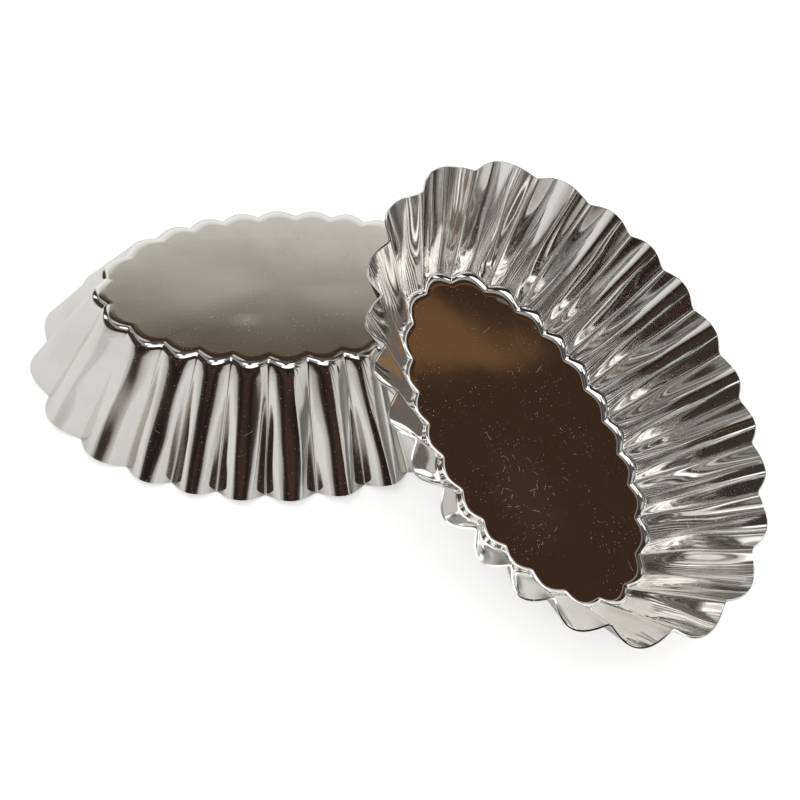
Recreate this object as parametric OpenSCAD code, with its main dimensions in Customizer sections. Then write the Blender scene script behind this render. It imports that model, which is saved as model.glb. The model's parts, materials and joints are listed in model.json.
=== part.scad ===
// A pair of oval fluted tart pans pressed from thin bright tinned sheet. One stands upside down on the
// table; the other leans open side up, its low base edge on the table and its high end over the first.
// Millimetres, +Z up, the table at z = 0, +X along the upturned pan, the origin under the pair's middle.

/* [Pan] */
// Rim length over the flutes
rim_length = 110; // [80:1:140]
// Rim width over the flutes
rim_width = 78.4; // [58:0.1:100]
// Base length over the flutes
base_length = 79.8; // [56:0.1:100]
// Base width over the flutes
base_width = 42.8; // [30:0.1:56]
// Height from the base to the highest point of the rim
pan_height = 26.4; // [18:0.1:36]
// Thickness of the sheet
sheet = 0.5; // [0.3:0.05:0.8]
// Outside radius where the floor turns up into the wall
corner_radius = 2.2; // [1.2:0.1:3.5]

/* [Flutes] */
// Number of flutes round the pan
flutes = 24; // [12:2:32]
// Depth of the flutes at the rim
flute_depth_rim = 2.9; // [1.5:0.1:4]
// Depth of the flutes at the base
flute_depth_base = 1.3; // [0.4:0.1:2]
// How much lower the rim stands at a lobe than at a groove
rim_scallop = 1.7; // [0:0.1:3]
// How sharp the grooves between the lobes are, 0 being a crease
groove_softness = 0.12; // [0.03:0.01:0.5]

/* [Leaning pan] */
// Turn of its long axis from the upturned pan's
lean_turn = -62; // [-80:0.1:-40]
// Tip along its long axis, the far end up
lean_tip = 22.25; // [16:0.05:27]
// Roll about its long axis
lean_roll = -6.25; // [-10:0.05:0]
// Direction of its middle from the upturned pan's
lean_bearing = -35.6; // [-45:0.1:-25]
// Gap left where the pans touch
seat_gap = 0.35; // [0.2:0.05:0.8]

/* [Hidden] */
// half lengths of the mean ovals, halfway between lobes and grooves
rim_a = (rim_length - flute_depth_rim) / 2;
rim_b = (rim_width - flute_depth_rim) / 2;
base_a = (base_length - flute_depth_base) / 2;
base_b = (base_width - flute_depth_base) / 2;
// steps round one flute, and the steps of the rounded corner
per_flute = 10;
columns = flutes * per_flute;
corner_steps = 3;
// the flutes are spread wider at the tips than along the sides
tip_spread = 10.2;
tip_spread_fine = 2.15;
// how far the corner's rounding runs up the wall and in over the floor
wall_slope = atan((rim_a - base_a + rim_b - base_b) / 2 / pan_height);
corner_run = corner_radius * tan(45 - wall_slope / 2);
rim_mean = pan_height - rim_scallop / 2;
// sideways thickness of the sloping wall
wall_side = sheet / cos(wall_slope);
wave_low = groove_softness;
wave_high = sqrt(1 + groove_softness * groove_softness);

function spread(q) = q + tip_spread * sin(2 * q) + tip_spread_fine * sin(4 * q);
function unspread(t) = let (q = t - tip_spread * sin(2 * t)) q - (spread(q) - t);
function wave(q) = 2 * (sqrt(pow(cos(flutes * q / 2), 2) + groove_softness * groove_softness) - wave_low)
    / (wave_high - wave_low) - 1;
function out_from(a, b, t) = [cos(t) / a, sin(t) / b] / norm([cos(t) / a, sin(t) / b]);
function oval(a, b, t, off) = [a * cos(t), b * sin(t)] + out_from(a, b, t) * off;

// a point of the sheet's outer face: share s of the way up the wall, for the column at angle q
function foot(q, inset) = let (t = spread(q), p = oval(base_a, base_b, t, flute_depth_base / 2 * wave(q) - inset))
    [p.x, p.y, 0];
function lip(q, inset) = let (t = spread(q), p = oval(rim_a, rim_b, t, flute_depth_rim / 2 * wave(q) - inset))
    [p.x, p.y, rim_mean - rim_scallop / 2 * wave(q)];
function along(q, d, inset, lift) = let (f = foot(q, inset), e = lip(q, inset), u = (e - f) / norm(e - f))
    f + u * d + [0, 0, lift];
function corner_point(q, inset, lift, k) =
    let (f = foot(q, inset), c = f + [0, 0, lift],
         a = foot(q, inset + corner_run) + [0, 0, lift], b = along(q, corner_run, inset, lift), u = k / corner_steps)
    a * pow(1 - u, 2) + c * 2 * u * (1 - u) + b * pow(u, 2);
function middle_point(q, inset, lift) =
    let (b = along(q, corner_run, inset, lift), e = lip(q, inset)) (b + e) / 2;

function angle_of(j) = 360 * j / columns;
function ring_corner(inset, lift, k) = [for (j = [0 : columns - 1]) corner_point(angle_of(j), inset, lift, k)];
function ring_middle(inset, lift) = [for (j = [0 : columns - 1]) middle_point(angle_of(j), inset, lift)];
function ring_lip(inset) = [for (j = [0 : columns - 1]) lip(angle_of(j), inset)];

// the outer face's rings from the floor to the rim, then the inner face's from the rim to the floor
outer_rings = [for (k = [0 : corner_steps]) ring_corner(0, 0, k), ring_middle(0, 0), ring_lip(0)];
inner_inset = wall_side - sheet * tan(wall_slope);
inner_rings = [ring_lip(wall_side), ring_middle(wall_side, 0),
    for (k = [corner_steps : -1 : 0]) ring_corner(inner_inset, sheet, k)];
rings = concat(outer_rings, inner_rings);
ring_count = len(rings);
shell_points = concat([for (r = rings) each r], [[0, 0, 0], [0, 0, sheet]]);
bottom_centre = ring_count * columns;
top_centre = bottom_centre + 1;
function next_of(j) = (j + 1) % columns;
shell_faces = concat(
    [for (r = [0 : ring_count - 2], j = [0 : columns - 1]) [r * columns + j, (r + 1) * columns + j,
        (r + 1) * columns + next_of(j)]],
    [for (r = [0 : ring_count - 2], j = [0 : columns - 1]) [r * columns + j, (r + 1) * columns + next_of(j),
        r * columns + next_of(j)]],
    [for (j = [0 : columns - 1]) [bottom_centre, j, next_of(j)]],
    [for (j = [0 : columns - 1]) [top_centre, (ring_count - 1) * columns + next_of(j),
        (ring_count - 1) * columns + j]]);

// placing: the leaning pan is turned, tipped and rolled, dropped until its base edge meets the table, and
// brought up to the upturned pan until only the seat gap is left
function turn_x(p, a) = [p.x, p.y * cos(a) - p.z * sin(a), p.y * sin(a) + p.z * cos(a)];
function turn_y(p, a) = [p.x * cos(a) + p.z * sin(a), p.y, -p.x * sin(a) + p.z * cos(a)];
function turn_z(p, a) = [p.x * cos(a) - p.y * sin(a), p.x * sin(a) + p.y * cos(a), p.z];
function leaned(p) = turn_z(turn_y(turn_x(p, lean_roll), lean_tip), lean_turn);
function unleaned(p) = turn_x(turn_y(turn_z(p, -lean_turn), -lean_tip), -lean_roll);
function turned_over(p) = [p.x, -p.y, pan_height - p.z];

test_points = concat(outer_rings[1], outer_rings[2], outer_rings[corner_steps], outer_rings[corner_steps + 1],
    outer_rings[corner_steps + 2]);
leaned_points = [for (p = test_points) leaned(p)];
upturned_points = [for (p = test_points) let (w = turned_over(p)) if (w.x > 0) w];
lean_lift = -min([for (p = leaned_points) p.z]);

// how far a point lies outside a pan's outer face, in that pan's own frame
function outside(p) =
    let (s = max(0, min(1, p.z / rim_mean)), a = base_a + (rim_a - base_a) * s, b = base_b + (rim_b - base_b) * s,
         rho = max(0.01, norm([p.x / a, p.y / b])), slope = norm([p.x / a / a, p.y / b / b]) / rho,
         depth = (flute_depth_base + (flute_depth_rim - flute_depth_base) * s) / 2,
         side = (rho - 1) / slope - depth * wave(unspread(atan2(p.y / b, p.x / a))),
         beyond = max(0, -p.z, p.z - pan_height))
    beyond > 0 ? norm([max(0, side), beyond]) : side * cos(wall_slope);
function lean_place(d) = [d * cos(lean_bearing), d * sin(lean_bearing), lean_lift];
function clearance(d) = let (m = lean_place(d)) min(
    min([for (p = upturned_points) outside(unleaned(p - m))]),
    min([for (p = leaned_points) let (w = p + m) outside(turned_over(w))]));
function settle(lo, hi, n) = n == 0 ? hi :
    let (mid = (lo + hi) / 2) clearance(mid) < seat_gap ? settle(mid, hi, n - 1) : settle(lo, mid, n - 1);
lean_distance = settle(base_a * 0.8, rim_a + rim_b, 14);
lean_at = lean_place(lean_distance);

// the pair's middle, so that the origin lies under it
lean_rim = [for (p = concat(outer_rings[corner_steps + 2], outer_rings[0])) leaned(p) + lean_at];
far_x = max([for (p = lean_rim) p.x]);
near_x = -rim_length / 2;
low_y = min([for (p = lean_rim) p.y]);
high_y = max(rim_width / 2, max([for (p = lean_rim) p.y]));
middle = [(far_x + near_x) / 2, (low_y + high_y) / 2, 0];

module pan() {
    polyhedron(points = shell_points, faces = shell_faces, convexity = 8);
}

// the pan standing upside down on the tips of its rim
module upturned_pan() {
    color([0.78, 0.77, 0.74])
        translate([0, 0, pan_height] - middle)
            rotate([180, 0, 0])
                pan();
}

// the pan leaning on the first one, open side up
module leaning_pan() {
    color([0.70, 0.69, 0.67])
        translate(lean_at - middle)
            rotate([lean_roll, lean_tip, lean_turn])
                pan();
}

upturned_pan();
leaning_pan();
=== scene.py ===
import json
import math

import bpy
from mathutils import Euler, Matrix, Vector, noise


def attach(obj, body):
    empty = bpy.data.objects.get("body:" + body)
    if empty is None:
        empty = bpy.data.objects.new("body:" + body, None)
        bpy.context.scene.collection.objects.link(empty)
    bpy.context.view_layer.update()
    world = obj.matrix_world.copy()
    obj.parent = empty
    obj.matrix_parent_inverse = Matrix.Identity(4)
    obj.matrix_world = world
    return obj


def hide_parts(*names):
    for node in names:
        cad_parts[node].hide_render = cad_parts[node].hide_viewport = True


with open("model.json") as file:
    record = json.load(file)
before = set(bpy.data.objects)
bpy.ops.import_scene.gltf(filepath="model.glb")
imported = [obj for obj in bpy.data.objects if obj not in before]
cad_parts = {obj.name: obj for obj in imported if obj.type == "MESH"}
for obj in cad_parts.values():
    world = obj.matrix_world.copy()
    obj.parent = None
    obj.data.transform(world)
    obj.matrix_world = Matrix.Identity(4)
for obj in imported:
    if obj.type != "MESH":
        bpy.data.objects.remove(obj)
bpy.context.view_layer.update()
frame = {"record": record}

# ------------------------------------------------------------------------------------------------------
# The upturned pan. One oval blank of thin rolled steel, dipped in bright tin, is drawn into a fluted die:
# the floor stays flat, a small rounded corner runs round it, and the wall flares up in wide lobes parted
# by narrow grooves that deepen towards the raw cut rim. It lies upside down on the tips of that rim.

RIM_HALF = (0.05355, 0.03775)
BASE_HALF = (0.03925, 0.02075)
PAN_HEIGHT = 0.0264
RIM_MEAN = 0.02545
RIM_SCALLOP = 0.0017
CORNER = 0.0024
SHEET = 0.00042
CAD_SHEET = 0.0005
CUT_EDGE = 0.00006

FLUTES = 24
FLUTE_RIM = 0.00145
FLUTE_BASE = 0.00065
GROOVE_SOFT = 0.12
TIP_SPREAD = math.radians(10.2)
TIP_SPREAD_FINE = math.radians(2.15)

STEPS_PER_FLUTE = 48
FLOOR_RINGS = 6
CORNER_RINGS = 6
WALL_RINGS = 16
RING_STEP = 0.001

# how far the hand-fed press leaves the sheet off its true shape, in metres
WALL_WANDER = 0.00045
FLOOR_WANDER = 0.00006
LIP_WANDER = 0.00030
FLUTE_SWAY = 0.00045

# how fast those errors change: per radian round the pan, from the foot to the lip, and per metre of floor
LIP_RATE = 4.0
FLOOR_RATE = 55.0
BROAD_RATE = 7.0
BROAD_CLIMB = 1.0
CLOSE_RATE = 17.0
CLOSE_CLIMB = 1.5
CLOSE_SHARE = 0.25
SWAY_RATE = 9.0
SWAY_CLIMB = 1.5
SWAY_START = 40.0
FLOOR_SEED_STEP = 0.02

# the lobes die out this fast from the floor's edge inwards
LOBE_FADE = 4
CROWDING = 0.5


def flute_angle(turn):
    return turn + TIP_SPREAD * math.sin(2.0 * turn) + TIP_SPREAD_FINE * math.sin(4.0 * turn)


def flute_swell(turn):
    top = math.sqrt(1.0 + GROOVE_SOFT ** 2)
    value = math.sqrt(math.cos(FLUTES * turn / 2.0) ** 2 + GROOVE_SOFT ** 2)
    return 2.0 * (value - GROOVE_SOFT) / (top - GROOVE_SOFT) - 1.0


def on_oval(half, angle, off, height):
    out = Vector((math.cos(angle) / half[0], math.sin(angle) / half[1], 0.0)).normalized()
    return Vector((half[0] * math.cos(angle), half[1] * math.sin(angle), height)) + out * off


def column_turn(column):
    # columns crowd together in the narrow grooves, where the sheet bends hardest
    flute, step = divmod(column, STEPS_PER_FLUTE)
    share = step / STEPS_PER_FLUTE
    share += CROWDING * math.sin(2.0 * math.pi * share) / (2.0 * math.pi)
    return 2.0 * math.pi * (flute + share) / FLUTES


def select_outer_ring(sheet, radius):
    bpy.ops.object.mode_set(mode="EDIT")
    bpy.ops.mesh.select_mode(type="VERT")
    bpy.ops.mesh.select_all(action="DESELECT")
    bpy.ops.object.mode_set(mode="OBJECT")
    for vertex in sheet.data.vertices:
        vertex.select = vertex.co.length > radius
    bpy.ops.object.mode_set(mode="EDIT")


def pressed_sheet(name, place, seed):
    columns = FLUTES * STEPS_PER_FLUTE
    rings = FLOOR_RINGS + CORNER_RINGS + WALL_RINGS
    bpy.ops.object.select_all(action="DESELECT")
    bpy.ops.mesh.primitive_circle_add(vertices=columns, radius=RING_STEP, fill_type="TRIFAN")
    pan = bpy.context.object
    pan.name = name
    pan.data.name = name
    select_outer_ring(pan, RING_STEP / 2.0)
    for ring in range(1, rings):
        grow = 1.0 + 1.0 / ring
        bpy.ops.mesh.extrude_region_move()
        bpy.ops.transform.resize(value=(grow, grow, 1.0))
    bpy.ops.object.mode_set(mode="OBJECT")

    # the die gives each ring and column its place; "laid" keeps where it lay on the flat blank,
    # and "climbed" how far up the wall it is and its turn round the pan
    half_sheet = CAD_SHEET / 2.0
    slope = math.atan((RIM_HALF[0] - BASE_HALF[0] + RIM_HALF[1] - BASE_HALF[1]) / 2.0 / PAN_HEIGHT)
    foot_inset = half_sheet / math.cos(slope) - half_sheet * math.tan(slope)
    rim_inset = half_sheet / math.cos(slope)
    run = CORNER * math.tan(math.pi / 4.0 - slope / 2.0)
    laid = {}
    climbed = {}
    for vertex in pan.data.vertices:
        radius = vertex.co.length
        ring = round(radius / RING_STEP) - 1
        column = round(math.atan2(vertex.co.y, vertex.co.x) / (2.0 * math.pi) * columns) % columns
        turn = column_turn(column)
        angle = flute_angle(turn)
        swell = flute_swell(turn)
        around = Vector((math.cos(turn), math.sin(turn), 0.0))
        lip_drop = LIP_WANDER * abs(noise.noise(around * LIP_RATE + Vector((0.0, 0.0, seed))))
        out = Vector((math.cos(angle) / BASE_HALF[0], math.sin(angle) / BASE_HALF[1])).normalized()
        foot = on_oval(BASE_HALF, angle, FLUTE_BASE * swell - foot_inset, half_sheet)
        start = on_oval(BASE_HALF, angle, FLUTE_BASE * swell - foot_inset - run, half_sheet)
        lip_height = RIM_MEAN - RIM_SCALLOP / 2.0 * swell - lip_drop
        lip = on_oval(RIM_HALF, angle, FLUTE_RIM * swell - rim_inset, lip_height)
        up_wall = (lip - foot).normalized()
        turned = foot + up_wall * run
        if ring < 0:
            vertex.co = (0.0, 0.0, half_sheet)
            laid[vertex.index] = Vector((0.0, 0.0))
            climbed[vertex.index] = (-BASE_HALF[1], 0.0)
            continue
        if ring < FLOOR_RINGS:
            # rings crowd towards the floor's edge
            share = 1.0 - (1.0 - (ring + 1) / FLOOR_RINGS) ** 2
            plain = on_oval(BASE_HALF, angle, -foot_inset - run, half_sheet)
            vertex.co = plain.lerp(start, share ** LOBE_FADE) * share
            bow = noise.noise(Vector((vertex.co.x, vertex.co.y, seed * FLOOR_SEED_STEP)) * FLOOR_RATE)
            vertex.co.z = half_sheet + FLOOR_WANDER * bow * (1.0 - share ** 2)
            laid[vertex.index] = vertex.co.to_2d()
            climbed[vertex.index] = ((share - 1.0) * BASE_HALF[1], turn)
            continue
        if ring < FLOOR_RINGS + CORNER_RINGS:
            share = (ring - FLOOR_RINGS + 1) / CORNER_RINGS
            vertex.co = start * (1.0 - share) ** 2 + foot * 2.0 * share * (1.0 - share) + turned * share ** 2
            climb = share * run * 2.0
        else:
            share = (ring - FLOOR_RINGS - CORNER_RINGS + 1) / WALL_RINGS
            broad = noise.noise(around * BROAD_RATE + Vector((0.0, 0.0, share * BROAD_CLIMB + seed)))
            close = noise.noise(around * CLOSE_RATE + Vector((0.0, 0.0, share * CLOSE_CLIMB + seed)))
            bulge = broad + CLOSE_SHARE * close
            middle = math.sin(math.pi * share)
            wall_out = Vector((up_wall.z * around.x, up_wall.z * around.y, -math.sin(slope)))
            sway_step = share * SWAY_CLIMB + seed + SWAY_START
            sway = noise.noise(around * SWAY_RATE + Vector((0.0, 0.0, sway_step)))
            sideways = Vector((-around.y, around.x, 0.0)) * FLUTE_SWAY * sway * middle
            sunk = wall_out * WALL_WANDER * abs(bulge) * middle
            vertex.co = turned.lerp(lip, share) + sideways - sunk
            climb = run * 2.0 + share * (lip - turned).length
        laid[vertex.index] = start.to_2d() + out * climb
        climbed[vertex.index] = (climb, turn)

    # "blank" lays the flat sheet out in metres; "wall" runs up the wall and round it
    blank = pan.data.uv_layers.new(name="blank")
    wall = pan.data.uv_layers.new(name="wall")
    for face in pan.data.polygons:
        turns = [climbed[pan.data.loops[index].vertex_index][1] for index in face.loop_indices]
        wraps = max(turns) - min(turns) > math.pi
        for index in face.loop_indices:
            vertex_index = pan.data.loops[index].vertex_index
            up, turn = climbed[vertex_index]
            if wraps and turn < math.pi:
                turn += 2.0 * math.pi
            blank.data[index].uv = laid[vertex_index]
            wall.data[index].uv = (up, turn * RIM_HALF[1])
    bpy.ops.object.mode_set(mode="EDIT")
    bpy.ops.mesh.select_all(action="SELECT")
    bpy.ops.mesh.normals_make_consistent(inside=False)
    bpy.ops.object.mode_set(mode="OBJECT")

    thickness = pan.modifiers.new("sheet", "SOLIDIFY")
    thickness.thickness = SHEET
    thickness.offset = 0.0
    thickness.use_even_offset = True
    bpy.ops.object.modifier_apply(modifier=thickness.name)
    rounding = pan.modifiers.new("cut edge", "BEVEL")
    rounding.width = CUT_EDGE
    rounding.segments = 1
    rounding.limit_method = "ANGLE"
    rounding.angle_limit = math.radians(60.0)
    bpy.ops.object.modifier_apply(modifier=rounding.name)
    pan.data.transform(place)
    pan.data.update()
    bpy.ops.object.shade_smooth_by_angle(angle=math.radians(35.0))
    return pan


# The tin finish: a soft mirror with faint rolling lines across the blank, drawing lines up the wall,
# short hair scratches from scraping and washing, and fine specks where the coat is thin.

# how often each pattern repeats in a metre, along the sheet and across it
FINE_ROLLING = (50.0, 5200.0, 1.0)
WIDE_ROLLING = (7.0, 520.0, 1.0)
DRAWING = (30.0, 2600.0, 1.0)
HAZE_RATE = 45.0
WEAR_RATE = 90.0
SCUFF_RATE = 160.0

# the wall's finish takes over within this height above the corner
WALL_STARTS = 0.003
HAIR_BEND = 60.0

NICKS = {"Cells": 640.0, "Length": 0.0006, "Width": 0.000024, "Share": 0.11}
KNIFE_CUTS = {"Cells": 620.0, "Length": 0.0013, "Width": 0.000020, "Share": 0.40}

# a speck's radius, in cells, and how much of that radius varies from speck to speck
SPECK_SIZE = 0.035
SPECK_SPREAD = 0.09

# how rough each mark leaves the coat
LINES_ROUGH = 0.03
MARKS_ROUGH = 0.32
SPECKS_ROUGH = 0.38
RUBBED_ROUGH = 0.05
HAZE_ROUGH = 0.03

# how much each mark shows the duller tin
BANDS_STAIN = 0.25
SPECKS_STAIN = 0.35
HAZE_STAIN = 0.45

# how high each mark stands, in steps of the relief's depth
ROLLING_RELIEF = 0.08
DRAWING_RELIEF = 0.012
MARKS_RELIEF = -0.6
SPECKS_RELIEF = 0.5
RELIEF_DEPTH = 0.00002
RELIEF_STRENGTH = 0.25


def group_with(name, inputs, outputs):
    group = bpy.data.node_groups.new(name, "ShaderNodeTree")
    for title, kind, value in inputs:
        socket = group.interface.new_socket(name=title, in_out="INPUT", socket_type=kind)
        if value is not None:
            socket.default_value = value
    for title in outputs:
        group.interface.new_socket(name=title, in_out="OUTPUT", socket_type="NodeSocketFloat")
    return group, group.nodes.new("NodeGroupInput").outputs, group.nodes.new("NodeGroupOutput").inputs


def fill(tree, node, values):
    for socket, value in values.items():
        if isinstance(value, bpy.types.NodeSocket):
            tree.links.new(value, node.inputs[socket])
        else:
            node.inputs[socket].default_value = value


def cloud(tree, vector, scale, detail, roughness):
    node = tree.nodes.new("ShaderNodeTexNoise")
    fill(tree, node, {"Vector": vector, "Scale": scale, "Detail": detail, "Roughness": roughness})
    return node.outputs["Fac"]


def ease(tree, value, low, high, out_low, out_high):
    node = tree.nodes.new("ShaderNodeMapRange")
    node.interpolation_type = "SMOOTHSTEP"
    ends = {"Value": value, "From Min": low, "From Max": high, "To Min": out_low, "To Max": out_high}
    fill(tree, node, ends)
    return node.outputs["Result"]


def stretch(tree, vector, turn, scale, shift=(0.0, 0.0, 0.0)):
    node = tree.nodes.new("ShaderNodeMapping")
    rotation = (0.0, 0.0, math.radians(turn))
    fill(tree, node, {"Vector": vector, "Location": shift, "Rotation": rotation, "Scale": scale})
    return node.outputs["Vector"]


def arithmetic(tree, kind, *values):
    node = tree.nodes.new("ShaderNodeMath")
    node.operation = kind
    fill(tree, node, dict(enumerate(values)))
    return node.outputs["Value"]


def rolling_lines_group():
    group, taken, given = group_with(
        "rolling lines", [("Blank", "NodeSocketVector", None)], ["Lines", "Bands"]
    )
    fine = stretch(group, taken["Blank"], 0.0, FINE_ROLLING)
    wide = stretch(group, taken["Blank"], 0.0, WIDE_ROLLING)
    group.links.new(cloud(group, fine, 1.0, 3.0, 0.6), given["Lines"])
    group.links.new(cloud(group, wide, 1.0, 3.0, 0.6), given["Bands"])
    return group


def drawing_lines_group():
    group, taken, given = group_with(
        "drawing lines", [("Wall", "NodeSocketVector", None)], ["Lines", "On wall"]
    )
    along = stretch(group, taken["Wall"], 0.0, DRAWING)
    lines = cloud(group, along, 1.0, 2.0, 0.55)
    apart = group.nodes.new("ShaderNodeSeparateXYZ")
    fill(group, apart, {"Vector": taken["Wall"]})
    on_wall = ease(group, apart.outputs["X"], 0.0, WALL_STARTS, 0.0, 1.0)
    group.links.new(arithmetic(group, "MULTIPLY", lines, on_wall), given["Lines"])
    group.links.new(on_wall, given["On wall"])
    return group


def hair_scratches_group():
    # each Voronoi cell holds one short line, turned its own way
    group, taken, given = group_with(
        "hair scratches",
        [
            ("Blank", "NodeSocketVector", None),
            ("Cells", "NodeSocketFloat", 160.0),
            ("Length", "NodeSocketFloat", 0.0022),
            ("Width", "NodeSocketFloat", 0.000035),
            ("Share", "NodeSocketFloat", 0.22),
        ],
        ["Scratch"],
    )
    cell = group.nodes.new("ShaderNodeTexVoronoi")
    cell.voronoi_dimensions = "2D"
    fill(group, cell, {"Vector": taken["Blank"], "Scale": taken["Cells"]})
    offset = group.nodes.new("ShaderNodeVectorMath")
    offset.operation = "SUBTRACT"
    fill(group, offset, {0: taken["Blank"], 1: cell.outputs["Position"]})
    pick = group.nodes.new("ShaderNodeSeparateColor")
    fill(group, pick, {"Color": cell.outputs["Color"]})
    turned = group.nodes.new("ShaderNodeVectorRotate")
    turned.rotation_type = "Z_AXIS"
    angle = arithmetic(group, "MULTIPLY", pick.outputs["Red"], 2.0 * math.pi)
    fill(group, turned, {"Vector": offset.outputs["Vector"], "Angle": angle})
    apart = group.nodes.new("ShaderNodeSeparateXYZ")
    fill(group, apart, {"Vector": turned.outputs["Vector"]})
    along = arithmetic(group, "ABSOLUTE", apart.outputs["X"])
    bent = arithmetic(group, "MULTIPLY", arithmetic(group, "MULTIPLY", along, along), HAIR_BEND)
    across = arithmetic(group, "ABSOLUTE", arithmetic(group, "SUBTRACT", apart.outputs["Y"], bent))
    reach = arithmetic(group, "MULTIPLY", taken["Length"], pick.outputs["Green"])
    inside = ease(group, arithmetic(group, "DIVIDE", along, reach), 0.5, 1.0, 1.0, 0.0)
    thin = ease(group, arithmetic(group, "DIVIDE", across, taken["Width"]), 0.3, 1.0, 1.0, 0.0)
    there = arithmetic(group, "LESS_THAN", pick.outputs["Blue"], taken["Share"])
    mark = arithmetic(group, "MULTIPLY", arithmetic(group, "MULTIPLY", inside, thin), there)
    group.links.new(mark, given["Scratch"])
    return group


def thin_specks_group():
    group, taken, given = group_with(
        "thin specks",
        [
            ("Blank", "NodeSocketVector", None),
            ("Cells", "NodeSocketFloat", 1150.0),
            ("Share", "NodeSocketFloat", 0.30),
        ],
        ["Speck"],
    )
    cell = group.nodes.new("ShaderNodeTexVoronoi")
    cell.voronoi_dimensions = "2D"
    fill(group, cell, {"Vector": taken["Blank"], "Scale": taken["Cells"]})
    pick = group.nodes.new("ShaderNodeSeparateColor")
    fill(group, pick, {"Color": cell.outputs["Color"]})
    size = arithmetic(group, "MULTIPLY_ADD", pick.outputs["Green"], SPECK_SPREAD, SPECK_SIZE)
    dot = ease(group, arithmetic(group, "DIVIDE", cell.outputs["Distance"], size), 0.5, 1.0, 1.0, 0.0)
    there = arithmetic(group, "LESS_THAN", pick.outputs["Red"], taken["Share"])
    group.links.new(arithmetic(group, "MULTIPLY", dot, there), given["Speck"])
    return group


rolling_lines = rolling_lines_group()
drawing_lines = drawing_lines_group()
hair_scratches = hair_scratches_group()
thin_specks = thin_specks_group()


def placed(tree, group, values):
    node = tree.nodes.new("ShaderNodeGroup")
    node.node_tree = group
    fill(tree, node, values)
    return node.outputs


def weighed(tree, *pairs):
    total = 0.0
    for value, weight in pairs:
        total = arithmetic(tree, "MULTIPLY_ADD", value, weight, total)
    return total


def scuffed_patch_group():
    # a hazy oval where a palette knife has rubbed the floor
    group, taken, given = group_with(
        "scuffed patch",
        [
            ("Blank", "NodeSocketVector", None),
            ("Middle", "NodeSocketVector", None),
            ("Reach", "NodeSocketFloat", 0.01),
        ],
        ["Scuff"],
    )
    offset = group.nodes.new("ShaderNodeVectorMath")
    offset.operation = "SUBTRACT"
    fill(group, offset, {0: taken["Blank"], 1: taken["Middle"]})
    narrowed = stretch(group, offset.outputs["Vector"], -20.0, (0.7, 1.25, 1.0))
    length = group.nodes.new("ShaderNodeVectorMath")
    length.operation = "LENGTH"
    fill(group, length, {0: narrowed})
    near = arithmetic(group, "DIVIDE", length.outputs["Value"], taken["Reach"])
    ragged = cloud(group, taken["Blank"], SCUFF_RATE, 4.0, 0.65)
    torn = arithmetic(group, "MULTIPLY_ADD", ragged, -0.9, 0.45)
    scuff = ease(group, arithmetic(group, "ADD", near, torn), 0.35, 1.0, 1.0, 0.0)
    group.links.new(scuff, given["Scuff"])
    return group


scuffed_patch = scuffed_patch_group()


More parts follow.
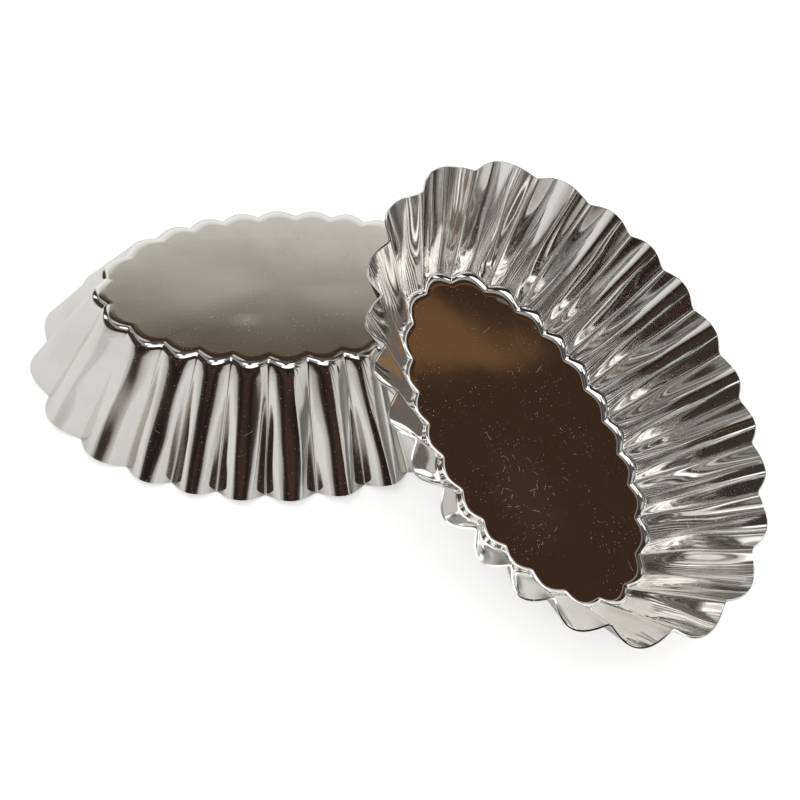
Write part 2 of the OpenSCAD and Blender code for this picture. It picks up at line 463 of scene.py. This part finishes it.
def tinplate(name, tin, stain, floor_rough, wall_rough, shift, scuff_middle, scuff_reach):
    material = bpy.data.materials.new(name)
    material.use_nodes = True
    tree = material.node_tree
    shader = tree.nodes["Principled BSDF"]
    shader.inputs["Metallic"].default_value = 1.0
    laid_flat = tree.nodes.new("ShaderNodeUVMap")
    laid_flat.uv_map = "blank"
    up_wall = tree.nodes.new("ShaderNodeUVMap")
    up_wall.uv_map = "wall"
    blank = stretch(tree, laid_flat.outputs["UV"], 0.0, (1.0, 1.0, 1.0), shift)
    rolled = placed(tree, rolling_lines, {"Blank": blank})
    drawn = placed(tree, drawing_lines, {"Wall": up_wall.outputs["UV"]})
    hair = placed(tree, hair_scratches, {"Blank": blank})
    nicks = placed(tree, hair_scratches, {"Blank": blank, **NICKS})
    speck = placed(tree, thin_specks, {"Blank": blank})
    haze = cloud(tree, blank, HAZE_RATE, 4.0, 0.6)
    scuffed = {"Blank": laid_flat.outputs["UV"], "Middle": scuff_middle, "Reach": scuff_reach}
    rubbed = placed(tree, scuffed_patch, scuffed)["Scuff"]
    worn = ease(tree, cloud(tree, blank, WEAR_RATE, 2.0, 0.5), 0.40, 0.62, 0.25, 1.0)
    worn = arithmetic(tree, "MAXIMUM", worn, arithmetic(tree, "MULTIPLY", drawn["On wall"], 0.8))
    cuts = placed(tree, hair_scratches, {"Blank": blank, **KNIFE_CUTS})["Scratch"]
    scratches = arithmetic(tree, "MAXIMUM", hair["Scratch"], nicks["Scratch"])
    marks = arithmetic(tree, "MULTIPLY", scratches, worn)
    marks = arithmetic(tree, "MAXIMUM", marks, arithmetic(tree, "MULTIPLY", cuts, rubbed))
    dots = arithmetic(tree, "MULTIPLY", speck["Speck"], worn)

    colour = tree.nodes.new("ShaderNodeMix")
    colour.data_type = "RGBA"
    dulled = ease(tree, haze, 0.45, 0.75, 0.0, HAZE_STAIN)
    stained = weighed(tree, (rolled["Bands"], BANDS_STAIN), (dots, SPECKS_STAIN), (dulled, 1.0))
    fill(tree, colour, {"A": (*tin, 1.0), "B": (*stain, 1.0), "Factor": stained})
    tree.links.new(colour.outputs["Result"], shader.inputs["Base Color"])

    ground = ease(tree, drawn["On wall"], 0.0, 1.0, floor_rough, wall_rough)
    rough = weighed(
        tree,
        (rolled["Lines"], LINES_ROUGH),
        (drawn["Lines"], LINES_ROUGH),
        (marks, MARKS_ROUGH),
        (dots, SPECKS_ROUGH),
        (rubbed, RUBBED_ROUGH),
        (ease(tree, haze, 0.45, 0.75, 0.0, HAZE_ROUGH), 1.0),
        (ground, 1.0),
    )
    tree.links.new(rough, shader.inputs["Roughness"])

    on_floor = arithmetic(tree, "SUBTRACT", 1.0, drawn["On wall"])
    height = weighed(
        tree,
        (arithmetic(tree, "MULTIPLY", rolled["Lines"], on_floor), ROLLING_RELIEF),
        (drawn["Lines"], DRAWING_RELIEF),
        (marks, MARKS_RELIEF),
        (dots, SPECKS_RELIEF),
    )
    bump = tree.nodes.new("ShaderNodeBump")
    fill(tree, bump, {"Strength": RELIEF_STRENGTH, "Distance": RELIEF_DEPTH, "Height": height})
    tree.links.new(bump.outputs["Normal"], shader.inputs["Normal"])
    return material


mounts = {mount["name"]: Vector(mount["pos_m"]) for mount in frame["record"]["mounts"]}
upturned_place = Matrix.Translation(mounts["upturned_base"]) @ Matrix.Rotation(math.pi, 4, "X")
upturned = pressed_sheet("upturned_pan_sheet", upturned_place, 1)
upturned_tin = tinplate(
    "bright tin, upturned pan",
    tin=(0.86, 0.85, 0.825),
    stain=(0.70, 0.675, 0.63),
    floor_rough=0.05,
    wall_rough=0.03,
    shift=(0.0, 0.0, 0.0),
    scuff_middle=(-0.008, 0.009, 0.0),
    scuff_reach=0.003,
)
upturned.data.materials.append(upturned_tin)
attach(upturned, "upturned")
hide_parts("upturned_pan")

# ------------------------------------------------------------------------------------------------------
# The leaning pan. The same pressing, open side up: its low base edge stands on the table and its high
# end rests over the first pan. Its inside has the brighter coat, scraped and speckled by use.

LEAN_ROLL = math.radians(-6.25)
LEAN_TIP = math.radians(22.25)
LEAN_TURN = math.radians(-62.0)
# this sheet is thinner and rounder than the solid, so it is set down to stand on the table
SET_DOWN = 0.00009

leaning_turn = Euler((LEAN_ROLL, LEAN_TIP, LEAN_TURN), "XYZ").to_matrix().to_4x4()
leaning_at = mounts["leaning_base"] - Vector((0.0, 0.0, SET_DOWN))
leaning = pressed_sheet("leaning_pan_sheet", Matrix.Translation(leaning_at) @ leaning_turn, 2)
leaning_tin = tinplate(
    "bright tin, leaning pan",
    tin=(0.90, 0.89, 0.87),
    stain=(0.68, 0.66, 0.62),
    floor_rough=0.02,
    wall_rough=0.04,
    shift=(0.41, 0.23, 0.0),
    scuff_middle=(0.011, -0.006, 0.0),
    scuff_reach=0.011,
)
leaning.data.materials.append(leaning_tin)
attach(leaning, "leaning")
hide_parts("leaning_pan")

# ------------------------------------------------------------------------------------------------------
# The studio: a plain white table inside a pale tent that is open above and towards the front, where the
# room is dark and warm, with a wide soft light overhead.

TABLE_SIZE = 8.0
TABLE_DROP = 0.0002
TABLE_GLOW = 0.05
TABLE_GLOW_SEEN_STRAIGHT = 0.50

bpy.ops.object.select_all(action="DESELECT")
bpy.ops.mesh.primitive_plane_add(size=TABLE_SIZE, location=(0.0, 0.0, -TABLE_DROP))
table = bpy.context.object
table.name = "studio_table"
paper = bpy.data.materials.new("white table")
paper.use_nodes = True
paper_shader = paper.node_tree.nodes["Principled BSDF"]
paper_shader.inputs["Base Color"].default_value = (0.82, 0.82, 0.815, 1.0)
paper_shader.inputs["Roughness"].default_value = 0.8
paper_shader.inputs["Specular IOR Level"].default_value = 0.1
paper_shader.inputs["Emission Color"].default_value = (1.0, 1.0, 1.0, 1.0)
seen_straight = paper.node_tree.nodes.new("ShaderNodeLightPath").outputs["Is Camera Ray"]
glow = arithmetic(paper.node_tree, "MULTIPLY_ADD", seen_straight, TABLE_GLOW_SEEN_STRAIGHT, TABLE_GLOW)
paper.node_tree.links.new(glow, paper_shader.inputs["Emission Strength"])
table.data.materials.append(paper)

overhead = bpy.data.lights.new("overhead softbox", "AREA")
overhead.shape = "SQUARE"
overhead.size = 2.6
overhead.energy = 20.0
softbox = bpy.data.objects.new("overhead_softbox", overhead)
bpy.context.scene.collection.objects.link(softbox)
softbox.location = (-0.3, 0.2, 1.6)
softbox.visible_glossy = False

world = bpy.data.worlds.new("tent and room")
bpy.context.scene.world = world
world.use_nodes = True
room = world.node_tree
direction = room.nodes.new("ShaderNodeTexCoord").outputs["Generated"]
axes = room.nodes.new("ShaderNodeSeparateXYZ")
fill(room, axes, {"Vector": direction})
height = axes.outputs["Z"]


def sky_ramp(stops, value):
    ramp = room.nodes.new("ShaderNodeValToRGB")
    ramp.color_ramp.elements.remove(ramp.color_ramp.elements[0])
    for number, (degrees, colour) in enumerate(stops):
        at = 0.5 + 0.5 * math.sin(math.radians(degrees))
        stop = ramp.color_ramp.elements[0] if number == 0 else ramp.color_ramp.elements.new(at)
        stop.position = at
        stop.color = (*colour, 1.0)
    room.links.new(value, ramp.inputs["Fac"])
    return ramp.outputs["Color"]


def towards(azimuth, elevation):
    turn = math.radians(azimuth)
    rise = math.radians(elevation)
    return (math.sin(turn) * math.cos(rise), math.cos(turn) * math.cos(rise), math.sin(rise))


def patch(azimuth, elevation, inner, outer):
    node = room.nodes.new("ShaderNodeVectorMath")
    node.operation = "DOT_PRODUCT"
    fill(room, node, {0: direction, 1: towards(azimuth, elevation)})
    near = node.outputs["Value"]
    outside = math.cos(math.radians(outer))
    inside = math.cos(math.radians(inner))
    return ease(room, near, outside, inside, 0.0, 1.0)


def over(below, colour, mask):
    node = room.nodes.new("ShaderNodeMix")
    node.data_type = "RGBA"
    fill(room, node, {"A": below, "B": colour, "Factor": mask})
    return node.outputs["Result"]


# a direction's heading, kept from dividing by nothing straight up and down
LEAST_LEVEL = 0.02
level_square = arithmetic(room, "SUBTRACT", 1.0, arithmetic(room, "MULTIPLY", height, height))
level_length = arithmetic(room, "MAXIMUM", arithmetic(room, "SQRT", level_square), LEAST_LEVEL)
level_x = arithmetic(room, "DIVIDE", axes.outputs["X"], level_length)
level_y = arithmetic(room, "DIVIDE", axes.outputs["Y"], level_length)
elevation = arithmetic(room, "DEGREES", arithmetic(room, "ARCSINE", height))


def panel(azimuth, half_wide, low, high, soft):
    turn = math.radians(azimuth)
    forward = arithmetic(room, "MULTIPLY", level_y, math.cos(turn))
    across = arithmetic(room, "MULTIPLY_ADD", level_x, math.sin(turn), forward)
    outside = math.cos(math.radians(half_wide + soft))
    inside = math.cos(math.radians(half_wide - soft))
    wide = ease(room, across, outside, inside, 0.0, 1.0)
    above = ease(room, elevation, low - soft, low + soft, 0.0, 1.0)
    below = ease(room, elevation, high - soft, high + soft, 1.0, 0.0)
    return arithmetic(room, "MULTIPLY", wide, arithmetic(room, "MULTIPLY", above, below))


level = arithmetic(room, "MULTIPLY_ADD", height, 0.5, 0.5)
room_wall = sky_ramp(
    [
        (-90.0, (0.9, 0.9, 0.89)),
        (-8.0, (0.80, 0.80, 0.785)),
        (0.0, (0.66, 0.655, 0.64)),
        (6.0, (0.42, 0.40, 0.37)),
        (9.0, (0.055, 0.038, 0.033)),
        (14.0, (0.014, 0.011, 0.010)),
        (19.0, (0.060, 0.034, 0.028)),
        (24.0, (0.014, 0.011, 0.010)),
        (34.0, (0.05, 0.045, 0.04)),
        (40.0, (0.30, 0.30, 0.295)),
        (56.0, (0.34, 0.34, 0.335)),
        (63.0, (0.16, 0.15, 0.14)),
        (72.0, (0.05, 0.042, 0.035)),
        (90.0, (0.12, 0.115, 0.11)),
    ],
    level,
)
back_wall = sky_ramp(
    [
        (-90.0, (0.95, 0.95, 0.94)),
        (6.0, (0.95, 0.95, 0.94)),
        (35.0, (0.92, 0.92, 0.90)),
        (46.5, (0.80, 0.795, 0.77)),
        (48.8, (0.60, 0.59, 0.55)),
        (49.7, (0.34, 0.325, 0.28)),
        (50.3, (0.19, 0.17, 0.13)),
        (51.0, (0.11, 0.088, 0.06)),
        (53.5, (0.050, 0.034, 0.023)),
        (75.0, (0.05, 0.034, 0.024)),
        (90.0, (0.12, 0.115, 0.11)),
    ],
    level,
)
# Headings are in degrees, 0 behind the pans and 90 to their right. A panel gives its heading, half width,
# lowest and highest elevation and edge softness; a patch its heading, elevation, inner and outer reach.
surround = over(room_wall, back_wall, panel(12.0, 48.0, -99.0, 99.0, 6.0))

# the dark left wall and the white card in it, then the bright window in front
surround = over(surround, (0.045, 0.038, 0.033, 1.0), panel(-82.0, 42.0, 7.0, 46.0, 2.0))
surround = over(surround, (1.30, 1.30, 1.29, 1.0), panel(-62.0, 6.0, 14.0, 42.0, 1.0))
surround = over(surround, (1.80, 1.80, 1.79, 1.0), panel(178.0, 30.0, 37.0, 60.0, 2.0))

# the dark right wall and its cards, low grey, high grey and two narrow white ones
surround = over(surround, (0.05, 0.043, 0.038, 1.0), panel(108.0, 38.0, 7.0, 45.0, 2.0))
surround = over(surround, (0.17, 0.15, 0.14, 1.0), panel(87.0, 18.0, 10.0, 33.0, 1.0))
surround = over(surround, (0.65, 0.64, 0.63, 1.0), panel(92.0, 18.0, 34.0, 46.0, 1.0))
surround = over(surround, (1.80, 1.80, 1.79, 1.0), panel(64.0, 9.0, 13.0, 40.0, 1.0))
surround = over(surround, (1.40, 1.40, 1.39, 1.0), panel(126.0, 7.0, 10.0, 40.0, 1.0))

# three round lamps high up, two small warm ones low down, and dark brown boards above the right wall
surround = over(surround, (1.6, 1.6, 1.6, 1.0), patch(-140.0, 64.0, 8.0, 9.5))
surround = over(surround, (1.2, 1.2, 1.2, 1.0), patch(155.0, 66.0, 9.0, 10.5))
surround = over(surround, (0.55, 0.55, 0.54, 1.0), patch(-50.0, 68.0, 9.0, 11.0))
surround = over(surround, (0.26, 0.15, 0.075, 1.0), patch(-116.0, 19.0, 1.5, 3.0))
surround = over(surround, (0.30, 0.17, 0.08, 1.0), patch(96.0, 19.0, 3.0, 5.0))
surround = over(surround, (0.045, 0.024, 0.014, 1.0), patch(81.0, 51.6, 5.5, 7.0))

# a strip of lamplit wall, cut off straight below and slanting above
azimuth = arithmetic(room, "DEGREES", arithmetic(room, "ARCTAN2", level_x, level_y))
WEDGE_SLANT = 1.08
under = ease(room, azimuth, 76.9, 77.5, 1.0, 0.0)
slope_line = arithmetic(room, "MULTIPLY_ADD", elevation, WEDGE_SLANT, azimuth)
slanted = ease(room, slope_line, 132.35, 133.1, 0.0, 1.0)
strip = arithmetic(room, "MULTIPLY", under, slanted)
wedge = arithmetic(room, "MULTIPLY", patch(76.0, 53.4, 1.2, 2.4), strip)
surround = over(surround, (0.150, 0.076, 0.034, 1.0), wedge)

path = room.nodes.new("ShaderNodeLightPath")
surround = over(surround, (0.95, 0.95, 0.945, 1.0), path.outputs["Is Camera Ray"])
room.links.new(surround, room.nodes["Background"].inputs["Color"])

bpy.context.scene.view_settings.view_transform = "Standard"

eye = bpy.data.cameras.new("studio_camera")
eye.lens = 118.9
eye.sensor_width = 36.0
camera = bpy.data.objects.new("studio_camera", eye)
bpy.context.scene.collection.objects.link(camera)
camera.location = (-0.04627, -0.33694, 0.45576)
camera.rotation_euler = Euler((math.radians(37.8146), math.radians(-2.5788), math.radians(-4.9088)), "XYZ")
bpy.context.scene.camera = camera
